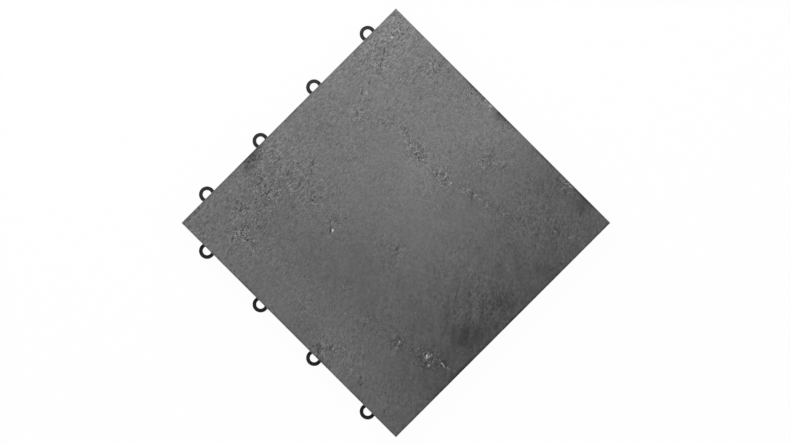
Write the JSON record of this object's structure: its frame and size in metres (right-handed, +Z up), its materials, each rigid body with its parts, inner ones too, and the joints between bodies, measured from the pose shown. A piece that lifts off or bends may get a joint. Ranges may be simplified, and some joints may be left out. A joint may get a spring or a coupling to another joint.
{
  "type": "interlocking floor tile",
  "caption": "Square riven slate floor tile on a black plastic grid base, with connector rings along two sides and posts for them under the other two.",
  "frame": {"origin": "on the floor, at the foot of the middle support under the slab's centre", "axes": "+Z up out of the slab's top; +X and +Y towards the two sides with posts, so the rings stand out along -X and -Y"},
  "size_m": [0.31, 0.31, 0.0253],
  "materials": {
    "slate": "riven natural cleft, matt",
    "black_plastic": "as moulded, fine satin"
  },
  "bodies": {
    "root": {"slate_slab": "slate", "base_grid": "black_plastic"}
  },
  "joints": []
}
